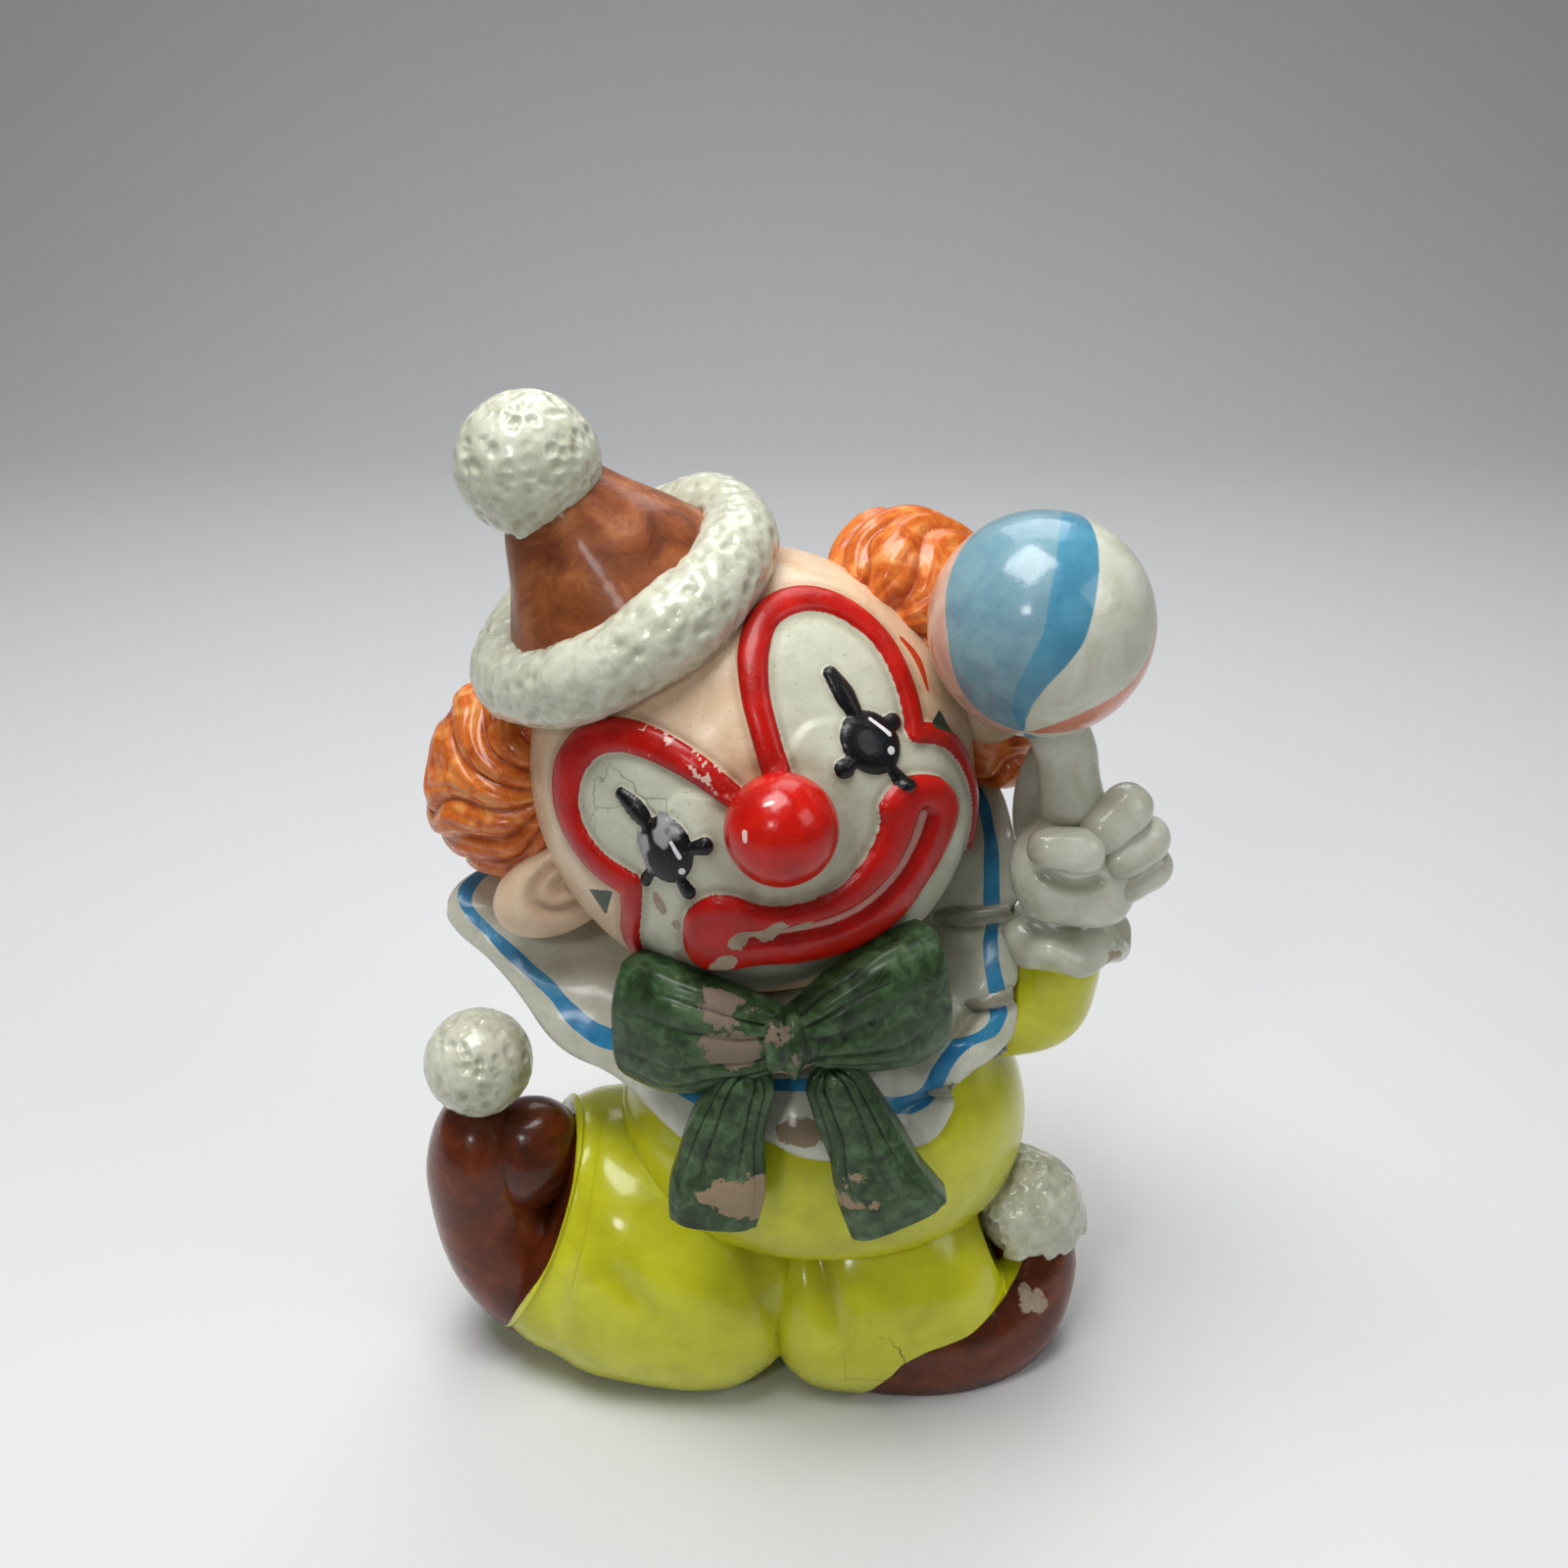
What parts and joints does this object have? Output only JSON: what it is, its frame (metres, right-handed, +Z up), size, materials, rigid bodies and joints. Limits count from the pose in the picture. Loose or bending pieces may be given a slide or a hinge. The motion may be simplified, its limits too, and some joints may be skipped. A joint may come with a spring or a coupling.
{
  "type": "pond ornament",
  "caption": "Free-standing hollow ceramic clown figure in a pompom hat and ruffled collar with a bow, holding up a ball balloon; the foot is flat and open.",
  "frame": {"origin": "centre of the bounding box, on the floor that the figure stands on", "axes": "+Z up; the clown faces -Y; +X is towards its raised arm, on the viewer's right"},
  "size_m": [0.1366, 0.0918, 0.1885],
  "materials": {
    "yellow_paint": "gloss",
    "flesh_paint": "gloss",
    "white_paint": "gloss",
    "brown_paint": "gloss",
    "red_paint": "gloss",
    "orange_paint": "gloss",
    "green_paint": "gloss",
    "black_paint": "gloss",
    "balloon_paint": "gloss"
  },
  "bodies": {
    "root": {"torso": "yellow_paint", "trouser_leg_left": "yellow_paint", "trouser_leg_right": "yellow_paint", "sleeve_raised": "yellow_paint", "sleeve_behind": "yellow_paint", "head": "flesh_paint", "ear_left": "flesh_paint", "ear_right": "flesh_paint", "collar": "white_paint", "hat_brim": "white_paint", "hat_pompom": "white_paint", "cuff_raised": "white_paint", "cuff_behind": "white_paint", "glove_palm": "white_paint", "thumb": "white_paint", "index_finger": "white_paint", "middle_finger": "white_paint", "ring_finger": "white_paint", "glove_behind": "white_paint", "balloon_stem": "white_paint", "shoe_pompom_left": "white_paint", "shoe_pompom_right": "white_paint", "hat_crown": "brown_paint", "shoe_left": "brown_paint", "shoe_right": "brown_paint", "nose": "red_paint", "mouth": "red_paint", "hair_left": "orange_paint", "hair_right": "orange_paint", "hair_back": "orange_paint", "bow_knot": "green_paint", "bow_loop_left": "green_paint", "bow_loop_right": "green_paint", "bow_tail_left": "green_paint", "bow_tail_right": "green_paint", "eye_left": "black_paint", "eye_right": "black_paint", "balloon": "balloon_paint"}
  },
  "joints": []
}
